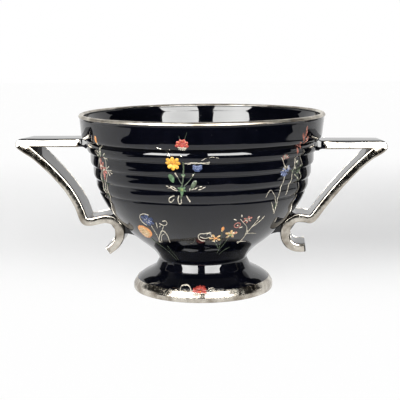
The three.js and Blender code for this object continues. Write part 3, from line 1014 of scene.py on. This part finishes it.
def right_spray(sprig):
    """Tall spray with a pointed coral flower, a blue bell and a silver fan"""
    outer_stem = [(55.4, 124.0), (55.0, 115.0), (54.6, 107.3), (53.6, 99.0), (52.2, 91.6)]
    inner_stem = [(48.6, 108.0), (47.4, 99.0), (46.6, 92.0), (47.2, 84.0), (48.2, 75.8)]
    sprig.stroke("cream", outer_stem, 0.26, 0.24)
    sprig.stroke("cream", inner_stem, 0.26, 0.3)
    for spot, length, width, angle in (
        ((57.8, 144.0), 8.4, 2.6, 82), ((55.8, 139.6), 7.4, 2.6, 110), ((58.8, 137.0), 7.0, 2.4, 62),
        ((55.0, 133.6), 6.6, 2.6, 128), ((57.4, 132.4), 6.0, 2.4, 76), ((54.6, 128.4), 5.4, 2.2, 95),
    ):
        sprig.petal("russet", spot, length * 1.2, width * 1.15, angle)
        sprig.petal("pink", sprig.shifted(spot, 0.3, -0.6), length * 0.6, width * 0.35, angle, 1.4)
    bell = (48.6, 112.8)
    sprig.ring("blue", bell, 5, 2.8, 4.4, 1.6, 190, 160)
    sprig.ring("sky", bell, 9, 3.4, 4.4, 1.3, 150, 260, 1.3)
    sprig.ring("cream", bell, 6, 3.6, 2.6, 0.6, 10, 160, 1.3)
    sprig.petal("sky", bell, 2.4, 2.0, 0, 1.5)
    fan = (46.0, 122.4)
    for tilt in (150, 125, 100, 75, 50, 25):
        sprig.stroke("pink" if tilt % 50 else "cream", [fan, sprig.around(fan, 4.8, tilt)], 0.22, 0.42)
    sprig.stroke("cream", [fan, (47.2, 116.8), (48.2, 113.4)], 0.2, 0.2)
    sprig.petal("olive", (60.4, 110.4), 7.4, 3.4, 30)
    for spot, angle in (
        ((57.6, 118.4), 60), ((61.4, 114.6), 20), ((58.0, 106.8), -25),
        ((62.6, 107.6), -50), ((60.4, 104.0), -70), ((56.4, 113.0), 120),
    ):
        sprig.petal("olive", spot, 4.8, 1.5, angle)
        sprig.petal("cream", sprig.shifted(spot, -1.2, 0.8), 2.6, 0.6, angle, 1.2)
        sprig.stroke("olive", [(54.2, 112.0), spot], 0.25, 0.2)
    arch = [(37.9, 92.1), (39.2, 96.4), (40.6, 97.6), (42.4, 95.0), (45.8, 87.4), (47.6, 79.6)]
    sprig.stroke("cream", arch, 0.2, 0.24)
    sprig.stroke("cream", [(42.8, 86.9), (44.6, 82.6), (47.6, 77.4)], 0.2, 0.46)
    sprig.petal("olive", (46.4, 83.0), 6.4, 1.4, 100)


def low_left_spray(sprig):
    """Blue bellflower and a pale bloom over the lower wall, with a white arch and twigs"""
    blue, bloom = (-29.6, 72.6), (-38.5, 59.8)
    sprig.ring("blue", blue, 6, 3.6, 5.6, 4.4, 20)
    sprig.petal("blue", blue, 5.8, 5.8, 0, 1.1)
    sprig.ring("sky", blue, 7, 3.0, 2.6, 0.9, 40, 360, 1.4)
    sprig.ring("cream", blue, 5, 2.0, 1.8, 0.6, 80, 360, 1.6)
    sprig.stroke("cream", [sprig.around(blue, 7.2, angle) for angle in range(60, 241, 30)], 0.3, 0.36)
    sprig.petal("orange", bloom, 19.0, 16.0, 58)
    sprig.petal("peach", bloom, 17.6, 14.4, 58, 1.2)
    sprig.petal("cream", sprig.shifted(bloom, 1.6, -1.0), 6.4, 1.2, 30, 1.4)
    sprig.petal("orange", sprig.shifted(bloom, -2.0, 2.0), 6.0, 0.8, 50, 1.4)
    sprig.stroke("cream", [(-28.8, 67.4), (-28.6, 62.0), (-29.0, 57.4), (-30.4, 50.4)], 0.3, 0.3)
    arch = [(-31.7, 50.9), (-28.4, 55.6), (-25.3, 60.0), (-21.5, 63.4), (-20.4, 59.6), (-21.4, 52.0)]
    sprig.stroke("cream", arch, 0.5, 0.4)
    sprig.stroke("cream", [(-29.0, 51.0), (-24.6, 58.6), (-22.0, 60.6)], 0.3, 0.2)
    sprig.stroke("cream", [(-24.2, 70.9), (-24.9, 66.0)], 0.34, 0.3)
    sprig.stroke("cream", [(-20.2, 67.8), (-21.9, 65.0)], 0.3, 0.4)
    loop = [(-22.0, 70.6), (-19.5, 69.0), (-17.0, 71.4), (-17.2, 73.2), (-19.5, 73.0)]
    sprig.stroke("cream", loop, 0.26, 0.3)
    sprig.petal("cream", (-22.6, 67.8), 2.2, 1.0, 40)
    sprig.stroke("olive", [(-37.0, 54.2), (-33.0, 45.0), (-31.6, 36.0), (-30.0, 30.8)], 0.42, 0.3)
    sprig.stroke("olive", [(-26.4, 47.4), (-27.6, 38.0), (-27.0, 31.4)], 0.42, 0.3)


def low_right_spray(sprig):
    """Small pale golden flowers beside a white branch with salmon blossoms"""
    curl = [(5.6, 54.6), (2.6, 55.2), (0.9, 58.6), (2.2, 61.8), (4.6, 62.2), (8.6, 61.9), (10.0, 58.9)]
    sprig.stroke("cream", curl, 0.4, 0.34)
    sprig.stroke("cream", [(2.2, 58.8), (5.4, 57.3), (9.0, 58.6)], 0.3, 0.26)
    sprig.stroke("cream", [(6.4, 60.6), (8.4, 63.4), (9.4, 61.0)], 0.24, 0.2)
    sprig.ring("peach", (12.4, 57.2), 5, 3.2, 4.6, 2.2, 40)
    sprig.petal("orange", (12.4, 57.2), 3.4, 2.6, 0, 1.4)
    sprig.ring("cream", (12.4, 55.4), 3, 2.2, 2.0, 0.8, 220, 100, 1.4)
    sprig.petal("orange", (16.2, 65.8), 6.4, 2.8, 92)
    sprig.petal("peach", (16.0, 64.6), 3.4, 1.8, 92, 1.3)
    sprig.ring("peach", (22.6, 60.4), 5, 3.0, 5.0, 2.6, 20)
    sprig.ring("cream", (22.6, 60.6), 4, 2.6, 2.6, 1.0, 50, 360, 1.4)
    sprig.petal("pink", sprig.shifted((22.6, 60.4), 3.6, 1.8), 2.4, 1.6, 40, 1.4)
    sprig.petal("lime", (22.4, 59.6), 2.8, 2.0, 0, 1.5)
    for spots in (
        [(12.6, 53.4), (15.4, 48.6), (17.9, 44.6)],
        [(16.2, 62.6), (16.8, 54.0), (17.9, 44.6)],
        [(21.6, 56.6), (20.0, 50.0), (17.9, 44.6)],
        [(26.4, 46.4), (22.6, 43.0), (20.4, 38.6)],
        [(17.9, 44.6), (17.6, 40.4)],
    ):
        sprig.stroke("olive", spots, 0.42, 0.4)
    branch = [(31.6, 50.0), (33.7, 54.0), (34.1, 58.0), (35.6, 65.6), (37.9, 73.4)]
    sprig.stroke("cream", branch, 0.5, 0.26)
    sprig.stroke("cream", [(30.4, 51.4), (34.4, 51.6), (38.6, 50.8)], 0.4, 0.24)
    sprig.stroke("cream", [(34.0, 58.0), (32.1, 65.7), (28.6, 70.5), (25.6, 74.4)], 0.34, 0.24)
    sprig.stroke("cream", [(33.6, 59.1), (37.8, 59.4), (42.8, 58.2)], 0.24, 0.2)
    sprig.stroke("cream", [(35.6, 65.6), (39.6, 70.6), (41.4, 75.0)], 0.3, 0.24)
    ring = [sprig.around((24.8, 69.0), 2.7, angle) for angle in range(0, 361, 40)]
    sprig.stroke("pink", ring, 0.36, 0.36)
    sprig.petal("cream", (25.0, 68.8), 1.6, 0.9, 30, 1.3)
    sprig.ring("pink", (30.3, 73.5), 6, 2.7, 3.0, 1.8)
    sprig.ring("cream", (30.3, 73.5), 5, 1.6, 1.7, 0.7, 54, 360, 1.5)
    for spot, angle in (
        ((22.6, 74.4), 150), ((25.8, 77.4), 100), ((33.8, 62.2), 120),
        ((37.2, 74.6), 60), ((27.6, 66.6), 200),
    ):
        sprig.petal("cream", spot, 3.4, 1.0, angle)


def foot_spray(sprig):
    """Poppy lying across the foot, between outlined leaves"""
    heart = (1.1, 9.2)
    sprig.ring("coral", heart, 7, 4.3, 5.0, 3.4, 0, 180)
    sprig.petal("coral", heart, 8.4, 4.2, 0, 1.1)
    sprig.ring("russet", heart, 5, 2.6, 2.6, 0.9, 20, 140, 1.4)
    sprig.petal("yellow", (1.6, 9.4), 1.6, 1.2, 0, 1.7)
    sprig.ring("cream", (0.6, 8.6), 4, 2.2, 2.2, 0.8, 200, 140, 1.6)
    sprig.leaf((-5.6, 6.6), 13.0, 8.6, 146, "cream", 0.5)
    sprig.leaf((6.4, 9.8), 8.4, 3.6, 14, "silver", 0.24)
    sprig.stroke("silver", [(5.6, 9.4), (9.0, 9.6), (13.0, 10.8)], 0.3, 0.24)
    sprig.stroke("cream", [(-4.4, 6.2), (-1.6, 6.6), (0.4, 8.4)], 0.5, 0.46)


def petal_pattern():
    """One petal: a flattened drop, a little wider at its outer end, with a sunken back"""
    piece = fresh("petal_pattern", bpy.ops.mesh.primitive_uv_sphere_add, segments=14, ring_count=8, radius=1)
    for vertex in piece.data.vertices:
        spot = vertex.co
        spot.y *= 0.86 + 0.26 * spot.x
        spot.z = max(spot.z, -0.3) * (1 - 0.25 * spot.x ** 2)
    pattern = piece.data
    bpy.data.objects.remove(piece)
    return pattern


def model_petals(name, petals):
    """Copies of the petal, each with its own size and place on the flat sheet"""
    pattern, lift, made = petal_pattern(), sizes().enamel_lift, []
    for (azimuth, height), length, width, angle, rise in petals:
        shape = pattern.copy()
        stretch = sheet_stretch(height)
        shape.transform(
            Matrix.Translation(sheet_spot(azimuth, height))
            @ Matrix.Diagonal((stretch[0], stretch[1], 1, 1))
            @ Matrix.Rotation(math.radians(angle), 4, "Z")
            @ Matrix.Diagonal((length / 2 * MM, width / 2 * MM, lift * rise, 1))
        )
        made.append(bpy.data.objects.new(name, shape))
        bpy.context.scene.collection.objects.link(made[-1])
    bpy.data.meshes.remove(pattern)
    pick(*made)
    bpy.ops.object.join()
    return made[0]


def model_strokes(name, strokes):
    """Brush strokes as curves with a thin round body, flattened on the sheet"""
    curve = bpy.data.curves.new(name, "CURVE")
    curve.dimensions, curve.bevel_depth, curve.bevel_resolution = "3D", MM, 2
    curve.resolution_u, curve.use_fill_caps = 5, True
    for spots, start, end in strokes:
        line = curve.splines.new("BEZIER")
        line.bezier_points.add(len(spots) - 1)
        for i, (point, (azimuth, height)) in enumerate(zip(line.bezier_points, spots)):
            point.co = sheet_spot(azimuth, height)
            point.handle_left_type = point.handle_right_type = "AUTO"
            point.radius = start + (end - start) * i / (len(spots) - 1)
    piece = as_mesh(name, curve)
    open_mesh()
    bpy.ops.transform.resize(value=(1, 1, 0.8), center_override=(0, 0, 0))
    bpy.ops.object.mode_set(mode="OBJECT")
    return piece


def build_sprigs():
    sprig = Sprigs()
    for turn in (0, 180):
        sprig.turn = turn
        for spray in (front_spray, left_spray, right_spray, low_left_spray, low_right_spray, foot_spray):
            spray(sprig)
    made = [(f"{tint}_petals", tint, model_petals, petals) for tint, petals in sprig.petals.items()]
    made += [(f"{tint}_strokes", tint, model_strokes, strokes) for tint, strokes in sprig.strokes.items()]
    for name, tint, build, parts in made:
        piece = build(name, parts)
        wrap(piece)
        smooth(piece, 60)
        keep(piece, tint)


# Stage

# Radiances, where 1 is white: the lamps give plain light, and their cloth shows bright in the glaze
LAMP_LEVEL = 4.3
CLOTH_LEVEL = 15.5
LAMP_DISTANCE = 1.3
LAMP_WIDTH = 1.0
LAMP_LOW, LAMP_HIGH = 0.20, 1.45
LAMP_TURNS = {"right": 29.6, "left": -31.4}
ROOM_RADIUS = 4.5
# Camera at the photograph's viewing angle: lens in millimetres, place in metres, turns in degrees
CAMERA_LENS = 92.67
CAMERA_SHIFT = -0.0064
CAMERA_DISTANCE, CAMERA_HEIGHT = 0.900, 0.225
CAMERA_ROUND, CAMERA_DOWN, CAMERA_ROLL = 4.0, 9.28, -0.48
# Front edge of the white paper in metres, from far left to its right border
PAPER_EDGE = (
    (-2.6, 0.0), (-1.07, -0.27), (-0.64, -0.38), (-0.58, -0.19), (-0.36, -0.17), (-0.26, -0.44),
    (0.24, -0.44), (0.38, -0.20), (0.42, 0.05), (0.40, 0.22), (0.50, 0.22), (0.56, -0.10), (1.07, 0.10),
    (2.6, 0.38),
)


def seen_rays(tree):
    """1 for what the camera sees, directly or in metal and glass, and 0 for light on the object"""
    path = node(tree, "ShaderNodeLightPath")
    seen = path.outputs["Is Camera Ray"]
    for kind in ("Is Glossy Ray", "Is Transmission Ray"):
        seen = maths(tree, "MAXIMUM", seen, path.outputs[kind])
    return seen


def paper_material():
    """White table paper, overexposed by a painted white glow but for the bowl's shadow and a grey drift of
    painted shade at the right and far off
    """
    made, tree, shader = material("White paper")
    place = node(tree, "ShaderNodeSeparateXYZ", {"Vector": object_spot(tree)})
    tone = tones(tree, patches(tree, 7.0, 0.0, 1.0, 2.0), (0.92, 0.92, 0.925), (0.94, 0.94, 0.943))
    tree.links.new(tone, shader.inputs["Base Color"])
    shader.inputs["Roughness"].default_value = 0.7
    rise = node(tree, "ShaderNodeMapRange", {"Value": place.outputs["Z"], "From Min": 0.0, "From Max": 0.12})
    near = node(
        tree, "ShaderNodeMapRange", {"Value": place.outputs["Y"], "From Min": 0.26, "From Max": -0.10},
        interpolation_type="SMOOTHSTEP",
    )
    far = node(
        tree, "ShaderNodeMapRange", {"Value": place.outputs["Y"], "From Min": 0.26, "From Max": 1.0},
        interpolation_type="SMOOTHSTEP",
    )
    # Less painted glow towards the right, which paints the grey drift there as painted shade
    left = node(
        tree, "ShaderNodeMapRange",
        {"Value": place.outputs["X"], "From Min": 0.25, "From Max": -0.25, "To Min": 0.42, "To Max": 0.72},
    )
    ends = maths(tree, "MAXIMUM", near.outputs[0], far.outputs[0])
    drift = node(tree, "ShaderNodeMapRange", {"Value": ends, "To Min": left.outputs[0], "To Max": 0.97})
    share = maths(tree, "MAXIMUM", rise.outputs[0], drift.outputs[0])
    share = maths(tree, "MULTIPLY", share, seen_rays(tree))
    # Painted white glow, mixed over the lit paper for camera and glossy rays
    white = node(tree, "ShaderNodeEmission", {"Color": (1, 1, 1, 1), "Strength": 1.0})
    mix = node(tree, "ShaderNodeMixShader", {0: share, 1: shader.outputs[0], 2: white.outputs[0]})
    leave = next(n for n in tree.nodes if n.type == "OUTPUT_MATERIAL")
    tree.links.new(mix.outputs[0], leave.inputs[0])
    return made


def glow_material(name, level):
    made = bpy.data.materials.new(name)
    made.use_nodes = True
    tree = made.node_tree
    tree.nodes.clear()
    drift = cloud(tree, object_spot(tree), 1.6, 1.0)
    soft = node(tree, "ShaderNodeMapRange", {"Value": drift, "To Min": 0.75 * level, "To Max": 1.25 * level})
    glow = node(tree, "ShaderNodeEmission", {"Color": (1, 1, 0.985, 1), "Strength": soft.outputs[0]})
    leave = tree.nodes.new("ShaderNodeOutputMaterial")
    tree.links.new(glow.outputs[0], leave.inputs[0])
    return made


def build_paper(paper):
    """White paper under the bowl, its backdrop, and the table round it that glaze mirrors as dark"""
    far, back, bend, top = 2.6, 1.5, 0.5, 2.2
    sheet = paper_flat("paper_under_bowl", [*PAPER_EDGE, (far, 0.4), (-far, 0.4)], paper)
    table = paper_flat("table_round_paper", [*PAPER_EDGE, (far, -far), (-far, -far)], paper)
    line = [(0.4, 0), (back - bend, 0), *arc((back - bend, bend), bend, -90, 0, 10)[1:], (back, top)]
    backdrop = paper_sweep("backdrop", line, far, paper)
    left_card = paper_card("left_card", -1.07, -0.27, paper)
    right_card = paper_card("right_card", 1.07, 0.10, paper)
    table.visible_glossy = left_card.visible_camera = right_card.visible_camera = False
    return sheet, table, backdrop, left_card, right_card


def draw_metres(name, points):
    return draw_line(name, [(x * 1000, z * 1000) for x, z in points])


def cut_paper(name, corners):
    """An upright sheet cut along its corners, given in metres"""
    piece = draw_metres(name, [*corners, corners[0]])
    bpy.ops.mesh.remove_doubles(threshold=0.1 * MM)
    bpy.ops.mesh.edge_face_add()
    bpy.ops.object.mode_set(mode="OBJECT")
    return piece


def paper_flat(name, corners, paper):
    """A flat sheet of paper on the table, cut along its corners"""
    piece = cut_paper(name, corners)
    piece.data.transform(Matrix.Rotation(math.radians(-90), 4, "X"))
    open_mesh()
    bpy.ops.mesh.normals_make_consistent(inside=False)
    bpy.ops.object.mode_set(mode="OBJECT")
    piece.data.materials.append(paper)
    return piece


def paper_card(name, x, front, paper):
    """A white card standing beside the table, from its front border back to the backdrop"""
    piece = cut_paper(name, [(front, 0), (1.5, 0), (1.5, 0.35), (front, 0.35)])
    piece.data.transform(Matrix.Translation((x, 0, 0)) @ Matrix.Rotation(math.radians(90), 4, "Z"))
    piece.data.materials.append(paper)
    return piece


def paper_sweep(name, line, reach, paper):
    """Paper that runs back and sweeps up, reaching as far to the left as to the right"""
    piece = draw_metres(name, line)
    bpy.ops.transform.translate(value=(0, -reach, 0))
    bpy.ops.mesh.extrude_region_move(TRANSFORM_OT_translate={"value": (0, 2 * reach, 0)})
    bpy.ops.object.mode_set(mode="OBJECT")
    piece.data.transform(Matrix.Rotation(math.radians(90), 4, "Z"))
    piece.data.update()
    smooth(piece, 60)
    piece.data.materials.append(paper)
    return piece


def build_dark_room():
    """Unlit studio round the table, which the glaze mirrors as black"""
    add = bpy.ops.mesh.primitive_ico_sphere_add
    piece = fresh("dark_room", add, subdivisions=4, radius=ROOM_RADIUS, location=(0, 0, 0.5))
    bpy.ops.object.transform_apply(location=True, rotation=True, scale=True)
    open_mesh()
    bpy.ops.mesh.flip_normals()
    bpy.ops.object.mode_set(mode="OBJECT")
    made, tree, shader = material("Dark room wall")
    tone = tones(tree, patches(tree, 1.2, 0.0, 1.0, 2.0), (0.03, 0.03, 0.034), (0.05, 0.05, 0.055))
    tree.links.new(tone, shader.inputs["Base Color"])
    shader.inputs["Roughness"].default_value = 0.9
    piece.data.materials.append(made)
    piece.visible_camera = False
    return piece


def build_softbox(side, cloth):
    """A lamp that lights the object, and its cloth, which only shows in glossy surfaces"""
    turn, height = math.radians(LAMP_TURNS[side]), LAMP_HIGH - LAMP_LOW
    place = (LAMP_DISTANCE * math.sin(turn), -LAMP_DISTANCE * math.cos(turn), LAMP_LOW + height / 2)
    aim = Matrix.Translation(place) @ Matrix.Rotation(turn, 4, "Z")
    aim = aim @ Matrix.Rotation(math.radians(90), 4, "X")
    lamp = bpy.data.lights.new(f"Softbox {side}", "AREA")
    lamp.shape, lamp.size, lamp.size_y = "RECTANGLE", LAMP_WIDTH, height
    lamp.energy = LAMP_LEVEL * math.pi * LAMP_WIDTH * height
    piece = bpy.data.objects.new(f"Softbox {side}", lamp)
    bpy.context.scene.collection.objects.link(piece)
    piece.matrix_world = aim
    piece.visible_glossy = False
    front = fresh(f"softbox_cloth_{side}", bpy.ops.mesh.primitive_plane_add, size=1)
    front.data.transform(aim @ Matrix.Diagonal((LAMP_WIDTH, height, 1, 1)))
    front.data.materials.append(cloth)
    front.visible_camera = front.visible_diffuse = front.visible_transmission = front.visible_shadow = False
    return front


def build_world():
    world = bpy.data.worlds.new("Studio")
    bpy.context.scene.world = world
    world.use_nodes = True
    tree = world.node_tree
    tree.nodes.clear()
    plain = node(tree, "ShaderNodeBackground", {"Color": (0.05, 0.05, 0.05, 1), "Strength": 1.0})
    white = node(tree, "ShaderNodeBackground", {"Color": (1, 1, 1, 1), "Strength": 1.0})
    mix = node(tree, "ShaderNodeMixShader", {0: seen_rays(tree), 1: plain.outputs[0], 2: white.outputs[0]})
    leave = tree.nodes.new("ShaderNodeOutputWorld")
    tree.links.new(mix.outputs[0], leave.inputs[0])


def build_camera():
    data = bpy.data.cameras.new("Photo camera")
    data.sensor_width, data.lens = 36.0, CAMERA_LENS
    data.shift_x = CAMERA_SHIFT
    data.clip_start, data.clip_end = 0.05, 20
    piece = bpy.data.objects.new("Photo camera", data)
    bpy.context.scene.collection.objects.link(piece)
    turn = math.radians(CAMERA_ROUND)
    aim = Matrix.Rotation(turn, 4, "Z") @ Matrix.Rotation(math.radians(90 - CAMERA_DOWN), 4, "X")
    aim = aim @ Matrix.Rotation(math.radians(CAMERA_ROLL), 4, "Z")
    spot = (CAMERA_DISTANCE * math.sin(turn), -CAMERA_DISTANCE * math.cos(turn), CAMERA_HEIGHT)
    piece.matrix_world = Matrix.Translation(spot) @ aim
    bpy.context.scene.camera = piece


def build_stage():
    cloth = glow_material("Softbox cloth", CLOTH_LEVEL)
    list(build_paper(paper_material()))
    build_dark_room()
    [build_softbox(side, cloth) for side in LAMP_TURNS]
    build_world()
    build_camera()
    bpy.context.scene.view_settings.view_transform = "Standard"


# Operators and panel


class MakeStage(bpy.types.Operator):
    """Set the table, backdrop, dark studio, softboxes and camera"""

    bl_idname = "bowl.stage"
    bl_label = "Stage"

    def execute(self, context):
        build_stage()
        return {"FINISHED"}


class MakeFinishes(bpy.types.Operator):
    """Mix the black glaze, the silver and the enamels"""

    bl_idname = "bowl.finishes"
    bl_label = "Glaze, silver and enamels"

    def execute(self, context):
        make_finishes()
        return {"FINISHED"}


class MakeBowl(bpy.types.Operator):
    """Throw the ribbed bowl"""

    bl_idname = "bowl.body"
    bl_label = "Bowl"

    def execute(self, context):
        build_bowl()
        return {"FINISHED"}


class MakeFoot(bpy.types.Operator):
    """Throw the hollow pedestal foot"""

    bl_idname = "bowl.foot"
    bl_label = "Pedestal foot"

    def execute(self, context):
        build_foot()
        return {"FINISHED"}


class MakeBands(bpy.types.Operator):
    """Lay the silver on the lip and the foot's edge"""

    bl_idname = "bowl.bands"
    bl_label = "Silver bands"

    def execute(self, context):
        build_silver_bands()
        return {"FINISHED"}


class MakeHandles(bpy.types.Operator):
    """Bend both strap handles and silver their edges"""

    bl_idname = "bowl.handles"
    bl_label = "Strap handles"

    def execute(self, context):
        build_handle(LEFT_STRAP, "left")
        build_handle(RIGHT_STRAP, "right")
        return {"FINISHED"}


class MakeSprigs(bpy.types.Operator):
    """Paint the enamel flowers, leaves and silver stems"""

    bl_idname = "bowl.sprigs"
    bl_label = "Enamel sprigs"

    def execute(self, context):
        build_sprigs()
        return {"FINISHED"}


STEPS = (MakeFinishes, MakeStage, MakeBowl, MakeFoot, MakeBands, MakeHandles, MakeSprigs)


class BowlPanel(bpy.types.Panel):
    """Lists the bowl's pieces, sizes and colours"""

    bl_idname = "VIEW3D_PT_centerpiece_bowl"
    bl_label = "Centerpiece bowl"
    bl_space_type = "VIEW_3D"
    bl_region_type = "UI"
    bl_category = "Centerpiece bowl"

    def draw(self, context):
        for group in (context.scene.bowl_sizes, context.scene.bowl_colours):
            column = self.layout.column(align=True)
            for name in group.__annotations__:
                column.prop(group, name)
        for step in STEPS:
            self.layout.operator(step.bl_idname)


CLASSES = (BowlSizes, BowlColours, *STEPS, BowlPanel)


def register():
    for made in CLASSES:
        bpy.utils.register_class(made)
    bpy.types.Scene.bowl_sizes = bpy.props.PointerProperty(type=BowlSizes)
    bpy.types.Scene.bowl_colours = bpy.props.PointerProperty(type=BowlColours)


def unregister():
    del bpy.types.Scene.bowl_sizes
    del bpy.types.Scene.bowl_colours
    for made in reversed(CLASSES):
        bpy.utils.unregister_class(made)


def main():
    register()
    for step in STEPS:
        area, name = step.bl_idname.split(".")
        getattr(getattr(bpy.ops, area), name)()


if __name__ == "__main__":
    main()
